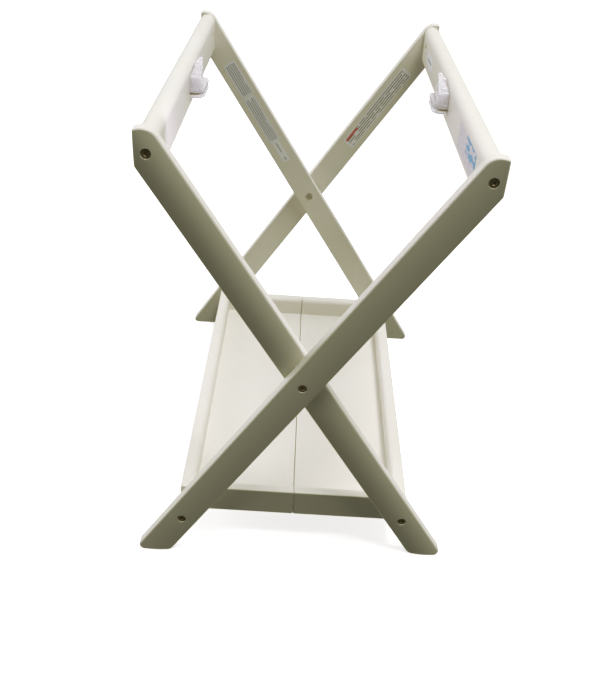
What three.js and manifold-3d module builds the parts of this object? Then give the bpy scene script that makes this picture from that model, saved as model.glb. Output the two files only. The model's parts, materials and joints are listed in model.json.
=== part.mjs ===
// Folding stand for a carrycot: two crossed wooden frames that turn on a centre pivot,
// tied together at the bottom by a shelf tray in two halves that folds upwards in its middle.
// Units are millimetres. +Z is up, +Y runs along the length of the stand and +X to its right.
// The origin is on the floor, under the middle of the stand.

import * as THREE from 'three';
import { mergeVertices } from 'three/addons/utils/BufferGeometryUtils.js';
import Module from 'manifold-3d';

const wasm = await Module();
wasm.setup();

// ---------- Driving dimensions ----------

const standLength = 740; // over the outer faces of the outer legs
const legThickness = 20.5;
const legWidth = 47.3;
const legGap = 1.5; // between the crossing legs
const touchGap = 0.3; // between pieces that touch in the real stand

const pivotZ = 337; // centre pivot, at x = 0
const railBolt = { x: 213.5, z: 660 }; // on the centre line of a leg
const shelfBoltReach = 317.9; // from the centre pivot down the leg

const legEndCentre = { x: 218.8, z: 668 }; // of the round end, radius half the leg's width
const legSideX = 228; // the round end is cut upright here
const legToeRadius = 7.5;
const legHeelRadius = 11;
const legSideRadius = 5;
const legEdgeRadius = 2.5;

const railThickness = 28;
const railTopZ = 688;
const railBottomZ = 626;
const railInnerEdgeRadius = 3;
const railOuterEdgeRadius = 16; // keeps the rail's lower edge behind the leg
const barrelNutInset = 40; // from the end of the rail

const trayHalfWidth = 182.1;
const trayHalfLength = 325.2;
const trayTopZ = 99.6;
const trayBottomZ = 53.4;
const trayWall = 20.5;
const trayFloorZ = 64;
const traySeamGap = 1;
const trayInnerTopRadius = 8;
const trayOuterTopRadius = 2;
const trayBottomRadius = 3;
const trayEndRadius = 1.5;

const boltShank = 3;
const boltClearance = 3.35;
const boltRecess = 1; // depth of the heads below the wood
const railHead = { radius: 6.35, thickness: 3.4, socket: 2.5 };
const pivotHead = { radius: 5.85, thickness: 3.2, socket: 2.3 };
const headClearance = 0.45;

const mountReach = 173; // distance of the mount's inner edge from the middle of the stand
const mountHalfLength = 40;
const mountSeatZ = 655;
const mountBottomZ = 638;
const mountSlot = { x: 185, low: 643.4, high: 646.6 };
const mountTongue = { x: 189.5, halfBase: 27, halfTop: 12, topZ: 687 };
const mountScrew = { y: 15, z: 665 };

const hingeY = 180; // distance of each shelf hinge from the middle
const hingeAxisZ = 50.2;
const hingeLength = 50;
const hingeReach = 24; // from the axis to the edge of a leaf
const hingeLeaf = 1.9;
const knuckleRadius = 2.7;
const hingePinRadius = 1.2;

// ---------- Positions that follow ----------

const legAngle = Math.atan2(railBolt.z - pivotZ, railBolt.x);
const outerLegOut = standLength / 2;
const outerLegIn = outerLegOut - legThickness;
const innerLegOut = outerLegIn - legGap;
const innerLegIn = innerLegOut - legThickness;
const shelfBolt = {
  x: shelfBoltReach * Math.cos(legAngle),
  z: pivotZ - shelfBoltReach * Math.sin(legAngle),
};
const railInnerX = railBolt.x - railThickness / 2;
const railOuterX = railBolt.x + railThickness / 2;
const trayWallInX = trayHalfWidth - trayWall;
const trayWallInY = trayHalfLength - trayWall;
const ends = { front: -1, rear: 1 };
const sides = { left: -1, right: 1 };

// ---------- Materials ----------

function material(name, color, roughness, metalness, opacity = 1) {
  const transparent = opacity < 1;
  return new THREE.MeshStandardMaterial({ name, color, roughness, metalness, opacity, transparent });
}

const paintedWood = material('painted_wood', 0xe6e2d4, 0.45, 0);
const darkBolt = material('dark_bolt', 0x3a3226, 0.45, 0.8);
const zincSteel = material('zinc_steel', 0xa9a49a, 0.35, 0.9);
const clearPlastic = material('clear_plastic', 0xe9e6f2, 0.12, 0, 0.4);
const nylon = material('nylon', 0xeeebe2, 0.5, 0);

// ---------- Solids ----------

// A closed geometry as a manifold, with its shared corners merged and its faces pointing out.
function solid(geometry) {
  const bare = geometry.index ? geometry.toNonIndexed() : geometry;
  bare.deleteAttribute('normal');
  bare.deleteAttribute('uv');
  const merged = mergeVertices(bare, 1e-4);
  const corners = merged.index.array;
  const triangles = [];
  for (let i = 0; i < corners.length; i += 3) {
    const [a, b, c] = corners.slice(i, i + 3);
    if (a !== b && b !== c && c !== a) triangles.push(a, b, c);
  }
  const positions = merged.attributes.position.array;
  const ordered = signedVolume(positions, triangles) < 0 ? triangles.reverse() : triangles;
  const mesh = new wasm.Mesh({
    numProp: 3,
    vertProperties: Float32Array.from(positions),
    triVerts: Uint32Array.from(ordered),
  });
  return new wasm.Manifold(mesh);
}

function signedVolume(positions, triangles) {
  const corner = (i) => new THREE.Vector3().fromArray(positions, 3 * triangles[i]);
  let volume = 0;
  for (let i = 0; i < triangles.length; i += 3) {
    volume += corner(i).dot(corner(i + 1).cross(corner(i + 2))) / 6;
  }
  return volume;
}

function geometryOf(manifold) {
  const mesh = manifold.getMesh();
  const geometry = new THREE.BufferGeometry();
  geometry.setAttribute('position', new THREE.BufferAttribute(mesh.vertProperties, 3));
  geometry.setIndex(new THREE.BufferAttribute(mesh.triVerts, 1));
  geometry.computeVertexNormals();
  return geometry;
}

function cut(geometry, cutters) {
  const result = cutters.reduce((left, cutter) => left.subtract(solid(cutter)), solid(geometry));
  return geometryOf(result);
}

function join(geometries) {
  return geometryOf(geometries.map(solid).reduce((left, right) => left.add(right)));
}

// A closed outline from corners [u, v, radius], each rounded by an arc of its radius.
function roundedShape(corners) {
  const shape = new THREE.Shape();
  corners.forEach(([u, v, radius = 0], i) => {
    const corner = new THREE.Vector2(u, v);
    const [previousU, previousV] = corners.at(i - 1);
    const [nextU, nextV] = corners[(i + 1) % corners.length];
    const back = new THREE.Vector2(previousU, previousV).sub(corner).normalize();
    const ahead = new THREE.Vector2(nextU, nextV).sub(corner).normalize();
    if (radius === 0) {
      if (i === 0) shape.moveTo(u, v);
      else shape.lineTo(u, v);
      return;
    }
    const half = Math.acos(back.dot(ahead)) / 2;
    const start = corner.clone().addScaledVector(back, radius / Math.tan(half));
    const end = corner.clone().addScaledVector(ahead, radius / Math.tan(half));
    const middle = back.clone().add(ahead).normalize();
    const centre = corner.clone().addScaledVector(middle, radius / Math.sin(half));
    const clockwise = back.cross(ahead) > 0;
    const from = start.sub(centre).angle();
    const to = end.sub(centre).angle();
    shape.absarc(centre.x, centre.y, radius, from, to, clockwise);
  });
  return shape;
}

// A board's outline, its width along the first axis and its height along Z. Each side has the
// radii of its bottom and its top edge; inward is the side, -1 or 1, that its inner face is on.
function boardOutline([low, high], [bottom, top], inner, outer, inward) {
  const [lowSide, highSide] = inward < 0 ? [inner, outer] : [outer, inner];
  return roundedShape([
    [low, bottom, lowSide.bottom],
    [high, bottom, highSide.bottom],
    [high, top, highSide.top],
    [low, top, lowSide.top],
  ]);
}

function extruded(shape, length, edgeRadius) {
  const geometry = new THREE.ExtrudeGeometry(shape, {
    depth: length - 2 * edgeRadius,
    curveSegments: 3,
    bevelEnabled: edgeRadius > 0,
    bevelThickness: edgeRadius,
    bevelSize: edgeRadius,
    bevelOffset: -edgeRadius,
    bevelSegments: 2,
  });
  return geometry.translate(0, 0, edgeRadius);
}

// An outline in x and z, run along Y.
function alongY(shape, low, high, edgeRadius = 0) {
  return extruded(shape, high - low, edgeRadius).rotateX(Math.PI / 2).translate(0, high, 0);
}

// An outline in y and z, run along X.
function alongX(shape, low, high, edgeRadius = 0) {
  const upright = extruded(shape, high - low, edgeRadius).rotateX(Math.PI / 2);
  return upright.rotateZ(Math.PI / 2).translate(low, 0, 0);
}

// An outline in x and y, run along Z.
function alongZ(shape, low, high, edgeRadius = 0) {
  return extruded(shape, high - low, edgeRadius).translate(0, 0, low);
}

function box(low, high) {
  const size = high.map((value, i) => value - low[i]);
  const middle = high.map((value, i) => (value + low[i]) / 2);
  return new THREE.BoxGeometry(...size).translate(...middle);
}

function rodY(radius, from, to, x, z, sidesCount = 12) {
  const rod = new THREE.CylinderGeometry(radius, radius, Math.abs(to - from), sidesCount);
  return rod.translate(x, (from + to) / 2, z);
}

function rodX(radius, from, to, y, z, sidesCount = 12) {
  const rod = new THREE.CylinderGeometry(radius, radius, Math.abs(to - from), sidesCount);
  return rod.rotateZ(Math.PI / 2).translate((from + to) / 2, y, z);
}

// A body turned about the Y axis from its outline [radius, y].
function turned(outline, sidesCount = 12) {
  const points = outline.map(([radius, y]) => new THREE.Vector2(radius, y));
  return geometryOf(solid(new THREE.LatheGeometry(points, sidesCount)));
}

function ring(innerRadius, outerRadius, from, to, chamfer = 0.2) {
  return turned([
    [innerRadius, from],
    [outerRadius - chamfer, from],
    [outerRadius, from + chamfer],
    [outerRadius, to - chamfer],
    [outerRadius - chamfer, to],
    [innerRadius, to],
    [innerRadius, from],
  ]);
}

// ---------- The stand ----------

const stand = new THREE.Group();
stand.name = 'carrycot_stand';

function add(name, geometry, pieceMaterial, place = {}) {
  const mesh = new THREE.Mesh(geometry, pieceMaterial);
  mesh.name = name;
  mesh.position.set(place.x ?? 0, place.y ?? 0, place.z ?? 0);
  mesh.rotation.z = place.turn ?? 0;
  stand.add(mesh);
}

// The limits, in ascending order, of a stretch from near to far on one side of the middle.
function stretch(side, near, far) {
  return side > 0 ? [near, far] : [-far, -near];
}

// ---------- Legs ----------

// Position along X of a leg's edge at height z; offset is to the upper side of the centre line.
function legLineX(offset, z) {
  return (z - pivotZ) / Math.tan(legAngle) - offset / Math.sin(legAngle);
}

function legLineZ(offset, x) {
  return pivotZ + (x + offset / Math.sin(legAngle)) * Math.tan(legAngle);
}

// The leg that rises to the right: slanted foot, parallel edges, round upper end cut upright.
function legOutline() {
  const endRadius = legWidth / 2;
  const startAngle = legAngle + Math.PI / 2;
  const stopAngle = Math.acos((legSideX - legEndCentre.x) / endRadius);
  const steps = 10;
  const corners = [[legLineX(endRadius, 0), 0, legToeRadius]];
  for (let i = 0; i <= steps; i += 1) {
    const angle = startAngle + ((stopAngle - startAngle) * i) / steps;
    const x = legEndCentre.x + endRadius * Math.cos(angle);
    corners.push([x, legEndCentre.z + endRadius * Math.sin(angle)]);
  }
  corners.push([legSideX, legLineZ(-endRadius, legSideX), legSideRadius]);
  corners.push([legLineX(-endRadius, 0), 0, legHeelRadius]);
  return corners;
}

// Bolt hole with a flat-bottomed recess for the head in the leg's outer face.
function boltHole(side, outerFace, position, head) {
  const faceY = side * outerFace;
  const through = rodY(boltClearance, faceY + side, faceY - side * 25, position.x, position.z);
  const depth = boltRecess + head.thickness + touchGap;
  const recessRadius = head.radius + headClearance;
  const recess = rodY(recessRadius, faceY + side, faceY - side * depth, position.x, position.z, 16);
  return [through, recess];
}

const pivot = { x: 0, z: pivotZ };
const sleeveRadius = 4;

for (const [end, side] of Object.entries(ends)) {
  const outer = alongY(
    roundedShape(legOutline()),
    ...stretch(side, outerLegIn, outerLegOut),
    legEdgeRadius,
  );
  add(`outer_leg_${end}`, cut(outer, [
    ...boltHole(side, outerLegOut, railBolt, railHead),
    ...boltHole(side, outerLegOut, pivot, pivotHead),
    ...boltHole(side, outerLegOut, { x: -shelfBolt.x, z: shelfBolt.z }, pivotHead),
  ]), paintedWood);

  const mirrored = legOutline().map(([x, ...rest]) => [-x, ...rest]);
  const inner = alongY(
    roundedShape(mirrored),
    ...stretch(side, innerLegIn, innerLegOut),
    legEdgeRadius,
  );
  const sleeveHole = rodY(sleeveRadius + 0.35, side * (innerLegIn - 2), side * (innerLegOut + 2), 0, pivotZ);
  add(`inner_leg_${end}`, cut(inner, [
    ...boltHole(side, innerLegOut, { x: -railBolt.x, z: railBolt.z }, railHead),
    sleeveHole,
    ...boltHole(side, innerLegOut, shelfBolt, pivotHead),
  ]), paintedWood);
}

// ---------- Top rails ----------

const barrelNutRadius = 4.9;
const barrelNutLength = 20;
const barrelNutFaceGap = 0.6; // below the rail's inner face
const screwLength = 15;
const screwShank = 1.6;

// The right rail; the left one is the same shape turned half round.
function railGeometry(halfLength) {
  const topRadius = railThickness / 2 - 0.05;
  const outline = boardOutline(
    [railInnerX, railOuterX],
    [railBottomZ, railTopZ],
    { bottom: railInnerEdgeRadius, top: topRadius },
    { bottom: railOuterEdgeRadius, top: topRadius },
    -1,
  );
  const cutters = [];
  for (const side of Object.values(ends)) {
    const nutY = side * (halfLength - barrelNutInset);
    const boreEnd = nutY - side * 9;
    cutters.push(rodY(boltClearance, side * (halfLength + 2), boreEnd, railBolt.x, railBolt.z));
    cutters.push(rodX(
      barrelNutRadius + touchGap,
      railInnerX - 1,
      railInnerX + barrelNutFaceGap + barrelNutLength + 1,
      nutY,
      railBolt.z,
    ));
    const pilotEnd = railInnerX + screwLength;
    cutters.push(rodX(screwShank + touchGap, railInnerX - 1, pilotEnd, side * mountScrew.y, mountScrew.z));
  }
  return cut(alongY(outline, -halfLength, halfLength), cutters);
}

const rails = {
  right: { legIn: outerLegIn, legOut: outerLegOut },
  left: { legIn: innerLegIn, legOut: innerLegOut },
};

for (const [name, { legIn }] of Object.entries(rails)) {
  const turn = name === 'left' ? Math.PI : 0;
  add(`${name}_top_rail`, railGeometry(legIn - touchGap), paintedWood, { turn });
}

// ---------- Bolts, nuts, spacers ----------

// A bolt along Y: its head's face is at y = 0 and its shank runs to y = length.
function boltGeometry(head, length) {
  const chamfer = 0.5;
  const body = turned([
    [0, 0],
    [head.radius - chamfer, 0],
    [head.radius, chamfer],
    [head.radius, head.thickness],
    [boltShank, head.thickness],
    [boltShank, length - chamfer],
    [boltShank - chamfer, length],
    [0, length],
  ]);
  const socket = new THREE.CylinderGeometry(head.socket, head.socket, 4, 6);
  return cut(body, [socket]);
}

// Nut across the rail: a short round bar with a threaded hole through its side.
function barrelNutGeometry() {
  const chamfer = 0.6;
  const half = barrelNutLength / 2;
  const bar = turned([
    [0, -half],
    [barrelNutRadius - chamfer, -half],
    [barrelNutRadius, chamfer - half],
    [barrelNutRadius, half - chamfer],
    [barrelNutRadius - chamfer, half],
    [0, half],
  ]).rotateZ(Math.PI / 2);
  const holeX = railBolt.x - (railInnerX + barrelNutFaceGap + half);
  const slot = box([-half - 1, -0.6, -3], [-half + 1, 0.6, 3]);
  return cut(bar, [rodY(boltClearance, -10, 10, holeX, 0), slot]);
}

// Sleeve nut of the centre pivot: a blind bore that the bolt enters, and a thin flange.
function sleeveNutGeometry() {
  const flangeRadius = 5.2;
  const flange = 0.9;
  const length = 17;
  const body = turned([
    [0, 0],
    [flangeRadius - 0.3, 0],
    [flangeRadius, 0.3],
    [flangeRadius, flange],
    [sleeveRadius, flange],
    [sleeveRadius, length],
    [boltClearance, length],
    [boltClearance, 4.5],
    [0, 4.5],
  ]);
  return cut(body, [new THREE.CylinderGeometry(2.4, 2.4, 5, 6)]);
}

const insertLength = 20;
const insertRadius = 4.9;
const shelfBoltEntry = 18; // of the left shelf bolts into the tray

for (const [end, side] of Object.entries(ends)) {
  const turn = side > 0 ? Math.PI : 0;

  for (const [name, { legIn, legOut }] of Object.entries(rails)) {
    const x = sides[name] * railBolt.x;
    const headY = side * (legOut - boltRecess);
    const boltLength = legOut - boltRecess - (legIn - barrelNutInset) + 6;
    add(`${name}_rail_bolt_${end}`, boltGeometry(railHead, boltLength), darkBolt, {
      x, y: headY, z: railBolt.z, turn,
    });
    add(`${name}_barrel_nut_${end}`, barrelNutGeometry(), zincSteel, {
      x: sides[name] * (railInnerX + barrelNutFaceGap + barrelNutLength / 2),
      y: side * (legIn - touchGap - barrelNutInset),
      z: railBolt.z,
      turn: name === 'left' ? Math.PI : 0,
    });
  }

  const pivotLength = outerLegOut - boltRecess - innerLegIn - 5;
  add(`pivot_bolt_${end}`, boltGeometry(pivotHead, pivotLength), darkBolt, {
    y: side * (outerLegOut - boltRecess), z: pivotZ, turn,
  });
  const washerIn = innerLegOut + touchGap;
  const washerOut = outerLegIn - touchGap;
  add(`pivot_washer_${end}`, ring(boltClearance, 9, ...stretch(side, washerIn, washerOut), 0.1), nylon, {
    z: pivotZ,
  });
  add(`pivot_sleeve_nut_${end}`, sleeveNutGeometry(), zincSteel, {
    y: side * (innerLegIn - touchGap - 0.9), z: pivotZ, turn: turn + Math.PI,
  });

  const leftBoltLength = outerLegOut - boltRecess - trayHalfLength + shelfBoltEntry;
  add(`left_shelf_bolt_${end}`, boltGeometry(pivotHead, leftBoltLength), darkBolt, {
    x: -shelfBolt.x, y: side * (outerLegOut - boltRecess), z: shelfBolt.z, turn,
  });
  const spacer = stretch(side, trayHalfLength + touchGap, outerLegIn - touchGap);
  add(`left_shelf_spacer_${end}`, ring(boltClearance, 8, ...spacer, 0.8), nylon, {
    x: -shelfBolt.x, z: shelfBolt.z,
  });

  const rightBoltLength = innerLegOut - boltRecess - trayHalfLength - 0.5;
  add(`right_shelf_bolt_${end}`, boltGeometry(pivotHead, rightBoltLength), darkBolt, {
    x: shelfBolt.x, y: side * (innerLegOut - boltRecess), z: shelfBolt.z, turn,
  });
  const washer = stretch(side, trayHalfLength + 0.5, innerLegIn - touchGap);
  add(`right_shelf_washer_${end}`, ring(boltClearance, 8, ...washer, 0.2), nylon, {
    x: shelfBolt.x, z: shelfBolt.z,
  });

  for (const [name, sideX] of Object.entries(sides)) {
    const insert = stretch(side, trayHalfLength - touchGap - insertLength, trayHalfLength - touchGap);
    add(`${name}_shelf_insert_${end}`, ring(boltClearance, insertRadius, ...insert, 0.3), zincSteel, {
      x: sideX * shelfBolt.x, z: shelfBolt.z,
    });
  }
}

// ---------- Shelf tray ----------

// Removes what lies across the 45 degree joint line at a corner of the tray.
function mitreCutter(sideX, sideY, keepsSideWall) {
  const reach = trayWall + 6;
  const shift = touchGap / 2;
  const cornerX = trayHalfWidth;
  const cornerY = trayHalfLength;
  const sign = keepsSideWall ? 1 : -1;
  const outside = [cornerX + 6 + sign * shift, cornerY + 6 - sign * shift];
  const inside = [cornerX - reach + sign * shift, cornerY - reach - sign * shift];
  const third = keepsSideWall ? [inside[0], outside[1]] : [outside[0], inside[1]];
  const shape = new THREE.Shape();
  [outside, inside, third].forEach(([x, y], i) => {
    if (i === 0) shape.moveTo(sideX * x, sideY * y);
    else shape.lineTo(sideX * x, sideY * y);
  });
  return alongZ(shape, trayBottomZ - 2, trayTopZ + 2);
}

// Section of a tray wall on one side of the middle, its inner top edge well rounded.
function wallOutline(side, near, far) {
  return boardOutline(
    stretch(side, near, far),
    [trayBottomZ, trayTopZ],
    { bottom: trayBottomRadius, top: trayInnerTopRadius },
    { bottom: trayBottomRadius, top: trayOuterTopRadius },
    -side,
  );
}

function insertHole(sideX, sideY) {
  const from = sideY * (trayHalfLength + 1);
  const to = sideY * (trayHalfLength - insertLength - 1);
  return rodY(insertRadius + touchGap, from, to, sideX * shelfBolt.x, shelfBolt.z);
}

const hingeScrewOffsets = [-15, 15];
const hingeScrewX = 15;
const hingeScrewShank = 1.3;
const hingeScrewHead = 2.7;
const hingeScrewLength = 9;

for (const [name, sideX] of Object.entries(sides)) {
  const sideOutline = wallOutline(sideX, trayWallInX, trayHalfWidth);
  const sideWall = alongY(sideOutline, -trayHalfLength, trayHalfLength);
  add(`${name}_shelf_side_wall`, cut(sideWall, Object.values(ends).flatMap((sideY) => [
    mitreCutter(sideX, sideY, true),
    insertHole(sideX, sideY),
  ])), paintedWood);

  for (const [end, sideY] of Object.entries(ends)) {
    const endOutline = wallOutline(sideY, trayWallInY, trayHalfLength);
    const reach = stretch(sideX, traySeamGap / 2, trayHalfWidth);
    add(`${name}_shelf_${end}_wall`, cut(alongX(endOutline, ...reach, trayEndRadius), [
      mitreCutter(sideX, sideY, false),
      insertHole(sideX, sideY),
    ]), paintedWood);
  }

  const floorX = stretch(sideX, traySeamGap / 2, trayWallInX - touchGap);
  const floorY = trayWallInY - touchGap;
  const floor = box([floorX[0], -floorY, trayBottomZ], [floorX[1], floorY, trayFloorZ]);
  const pilots = [-hingeY, hingeY].flatMap((middle) => hingeScrewOffsets.map((offset) => {
    const pilot = new THREE.CylinderGeometry(hingeScrewShank + touchGap, hingeScrewShank + touchGap, 18, 12);
    return pilot.rotateX(Math.PI / 2).translate(sideX * hingeScrewX, middle + offset, trayBottomZ);
  }));
  add(`${name}_shelf_floor`, cut(floor, pilots), paintedWood);
}

// ---------- Hinges under the shelf's centre seam ----------

const knuckleGap = 0.4;
const knuckleSpan = hingeLength / 3;

// One leaf with its knuckles; the spans are [from, to] along Y from the hinge's lower end.
function leafGeometry(sideX, spans) {
  const half = hingeLength / 2;
  const leafTop = hingeAxisZ + knuckleRadius;
  const [low, high] = stretch(sideX, knuckleRadius + knuckleGap, hingeReach);
  const plate = box([low, -half, leafTop - hingeLeaf], [high, half, leafTop]);
  const tabs = spans.map(([from, to]) => {
    const [tabLow, tabHigh] = stretch(sideX, 0, knuckleRadius + 1);
    return box([tabLow, from - half, leafTop - hingeLeaf], [tabHigh, to - half, leafTop]);
  });
  const knuckles = spans.map(([from, to]) => rodY(knuckleRadius, from - half, to - half, 0, hingeAxisZ));
  const holes = hingeScrewOffsets.map((offset) => {
    const taper = new THREE.CylinderGeometry(1.6, hingeScrewHead + touchGap + 0.4, 2.5, 12);
    return taper.rotateX(Math.PI / 2).translate(sideX * hingeScrewX, offset, leafTop - 1.1);
  });
  return cut(join([plate, ...tabs, ...knuckles]), [
    rodY(hingePinRadius + touchGap, -half - 1, half + 1, 0, hingeAxisZ),
    ...holes,
  ]);
}

// A countersunk screw pointing up, its flat head level with the underside of the leaf.
function hingeScrewGeometry() {
  return turned([
    [0, 0],
    [hingeScrewHead, 0],
    [hingeScrewHead, 0.3],
    [hingeScrewShank, 1.7],
    [hingeScrewShank, hingeScrewLength - 1.5],
    [0, hingeScrewLength],
  ]).rotateX(Math.PI / 2);
}

const leafSpans = {
  left: [[0, knuckleSpan - knuckleGap], [2 * knuckleSpan + knuckleGap, hingeLength]],
  right: [[knuckleSpan, 2 * knuckleSpan]],
};

for (const [end, side] of Object.entries(ends)) {
  const y = side * hingeY;
  add(`${end}_hinge_pin`, rodY(hingePinRadius, -hingeLength / 2, hingeLength / 2, 0, 0), zincSteel, {
    y, z: hingeAxisZ,
  });
  for (const [name, sideX] of Object.entries(sides)) {
    add(`${end}_hinge_${name}_leaf`, leafGeometry(sideX, leafSpans[name]), zincSteel, { y });
    hingeScrewOffsets.forEach((offset, i) => {
      add(`${end}_hinge_${name}_screw_${i + 1}`, hingeScrewGeometry(), zincSteel, {
        x: sideX * hingeScrewX,
        y: y + offset,
        z: hingeAxisZ + knuckleRadius - hingeLeaf,
      });
    });
  }
}

// ---------- Clear mounts that hold the carrycot ----------

const mountBackX = railInnerX - touchGap;
const mountScrewHead = { radius: 3.3, thickness: 2.2 };

// The right mount: a seat with a slot under it, and a ribbed tongue that tapers upwards.
function mountGeometry() {
  const cornerRadius = 12;
  const seat = alongZ(roundedShape([
    [mountBackX, -mountHalfLength, 1.6],
    [mountBackX, mountHalfLength, 1.6],
    [mountReach, mountHalfLength, cornerRadius],
    [mountReach, -mountHalfLength, cornerRadius],
  ]), mountBottomZ, mountSeatZ, 1.5);
  const tongue = alongX(roundedShape([
    [-mountTongue.halfBase, mountSeatZ - 4, 0],
    [mountTongue.halfBase, mountSeatZ - 4, 0],
    [mountTongue.halfTop, mountTongue.topZ, 5],
    [-mountTongue.halfTop, mountTongue.topZ, 5],
  ]), mountTongue.x, mountBackX, 1.2);
  const ribs = [660, 672, 679].map((z) => {
    const share = (z - mountSeatZ) / (mountTongue.topZ - mountSeatZ);
    const half = mountTongue.halfBase + (mountTongue.halfTop - mountTongue.halfBase) * share - 3;
    return box([mountTongue.x - 2, -half, z], [mountTongue.x + 1, half, z + 2.4]);
  });
  const slot = box(
    [mountSlot.x, -mountHalfLength - 1, mountSlot.low],
    [mountBackX + 1, mountHalfLength + 1, mountSlot.high],
  );
  const screwHoles = Object.values(ends).flatMap((side) => {
    const holeY = side * mountScrew.y;
    const front = mountTongue.x - 3;
    const headSeat = mountTongue.x + 3.2;
    return [
      rodX(screwShank + touchGap, front, mountBackX + 1, holeY, mountScrew.z),
      rodX(mountScrewHead.radius + touchGap, front, headSeat, holeY, mountScrew.z),
    ];
  });
  return cut(join([seat, tongue, ...ribs]), [slot, ...screwHoles]);
}

// A pan-head screw along +X from its head's inner face at x = 0.
function mountScrewGeometry() {
  const length = railInnerX + screwLength - 1 - (mountTongue.x + 0.8);
  const body = turned([
    [0, 0],
    [mountScrewHead.radius - 0.6, 0],
    [mountScrewHead.radius, 0.9],
    [mountScrewHead.radius, mountScrewHead.thickness],
    [screwShank, mountScrewHead.thickness],
    [screwShank, length - 3],
    [0, length],
  ]);
  const cross = [box([-1.9, -1, -0.35], [1.9, 1, 0.35]), box([-0.35, -1, -1.9], [0.35, 1, 1.9])];
  return cut(body, cross).rotateZ(-Math.PI / 2);
}

for (const [name, sideX] of Object.entries(sides)) {
  const turn = name === 'left' ? Math.PI : 0;
  add(`${name}_carrycot_mount`, mountGeometry(), clearPlastic, { turn });
  for (const [end, sideY] of Object.entries(ends)) {
    add(`${name}_mount_screw_${end}`, mountScrewGeometry(), zincSteel, {
      x: sideX * (mountTongue.x + 0.8),
      y: sideY * mountScrew.y,
      z: mountScrew.z,
      turn,
    });
  }
}

export default stand;
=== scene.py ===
"""Looks of the folding carrycot stand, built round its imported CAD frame.

Every board, bolt and fitting of the frame is rebuilt here with fine rounded edges and holes, and
rides on the same body. Lengths are in metres, in the frame's own axes: +Z up, +Y from the front
legs to the rear legs, +X to the right. Section sizes are named in millimetres and scaled by MM.
"""

import json
import math

import bmesh
import bpy
from mathutils import Matrix, Vector


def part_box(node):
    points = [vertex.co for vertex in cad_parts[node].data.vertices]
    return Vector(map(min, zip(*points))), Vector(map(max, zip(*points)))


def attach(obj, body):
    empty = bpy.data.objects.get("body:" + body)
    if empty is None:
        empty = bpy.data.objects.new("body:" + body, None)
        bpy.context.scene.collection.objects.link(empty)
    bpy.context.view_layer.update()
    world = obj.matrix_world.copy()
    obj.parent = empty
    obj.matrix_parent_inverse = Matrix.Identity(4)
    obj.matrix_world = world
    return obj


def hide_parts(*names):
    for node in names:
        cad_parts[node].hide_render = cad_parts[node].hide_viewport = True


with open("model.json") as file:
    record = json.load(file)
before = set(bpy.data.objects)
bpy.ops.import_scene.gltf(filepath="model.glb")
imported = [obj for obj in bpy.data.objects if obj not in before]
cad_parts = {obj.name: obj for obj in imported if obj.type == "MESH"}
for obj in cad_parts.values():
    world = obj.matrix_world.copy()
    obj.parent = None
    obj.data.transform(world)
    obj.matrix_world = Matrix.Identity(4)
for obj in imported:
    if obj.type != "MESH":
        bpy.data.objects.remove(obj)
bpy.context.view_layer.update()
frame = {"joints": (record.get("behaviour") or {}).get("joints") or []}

MM = 0.001
QUARTER = math.pi / 2
ENDS = {"front": -1, "rear": 1}
SIDES = {"left": -1, "right": 1}


def add_object(name, data):
    """A new object in the scene, made round its mesh, camera or light data."""
    result = bpy.data.objects.new(name, data)
    bpy.context.scene.collection.objects.link(result)
    return result


# ---------- Camera ----------


def make_camera():
    """A camera in front of the stand, a little left of its middle, looking down at it, slightly rolled."""
    yaw, pitch, roll = (math.radians(angle) for angle in (1.03, 32.81, 4.12))
    forward = Vector((math.sin(yaw) * math.cos(pitch), math.cos(yaw) * math.cos(pitch), -math.sin(pitch)))
    right = Vector((math.cos(yaw), -math.sin(yaw), 0))
    up = right.cross(forward)
    rolled_right = math.cos(roll) * right + math.sin(roll) * up
    rolled_up = math.cos(roll) * up - math.sin(roll) * right
    matrix = Matrix((rolled_right, rolled_up, -forward)).transposed().to_4x4()
    matrix.translation = Vector((-0.023, -1.354, 1.0373))
    data = bpy.data.cameras.new("camera")
    data.sensor_width = 36
    data.lens = 43.86
    camera = add_object("camera", data)
    camera.matrix_world = matrix
    bpy.context.scene.camera = camera


make_camera()

# ---------- Places and sizes ----------

joints = {joint["name"]: Vector(joint["pos_m"]) for joint in frame["joints"]}
pivot = joints["fold"]
shelf_pivot = joints["shelf_left_lift"]


def middle(node):
    low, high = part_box(node)
    return (low + high) / 2


rail_bolt = middle("right_rail_bolt_front")
outer_leg_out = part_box("outer_leg_rear")[1].y
outer_leg_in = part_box("outer_leg_rear")[0].y
inner_leg_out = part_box("inner_leg_rear")[1].y
inner_leg_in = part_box("inner_leg_rear")[0].y
rail_low, rail_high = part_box("right_top_rail")
tray_low, tray_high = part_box("right_shelf_side_wall")
tray_wall = tray_high.x - tray_low.x
tray_floor_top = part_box("right_shelf_floor")[1].z
seam_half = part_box("right_shelf_floor")[0].x
mount_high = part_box("right_carrycot_mount")[1]
mount_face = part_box("right_mount_screw_front")[0].x

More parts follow.
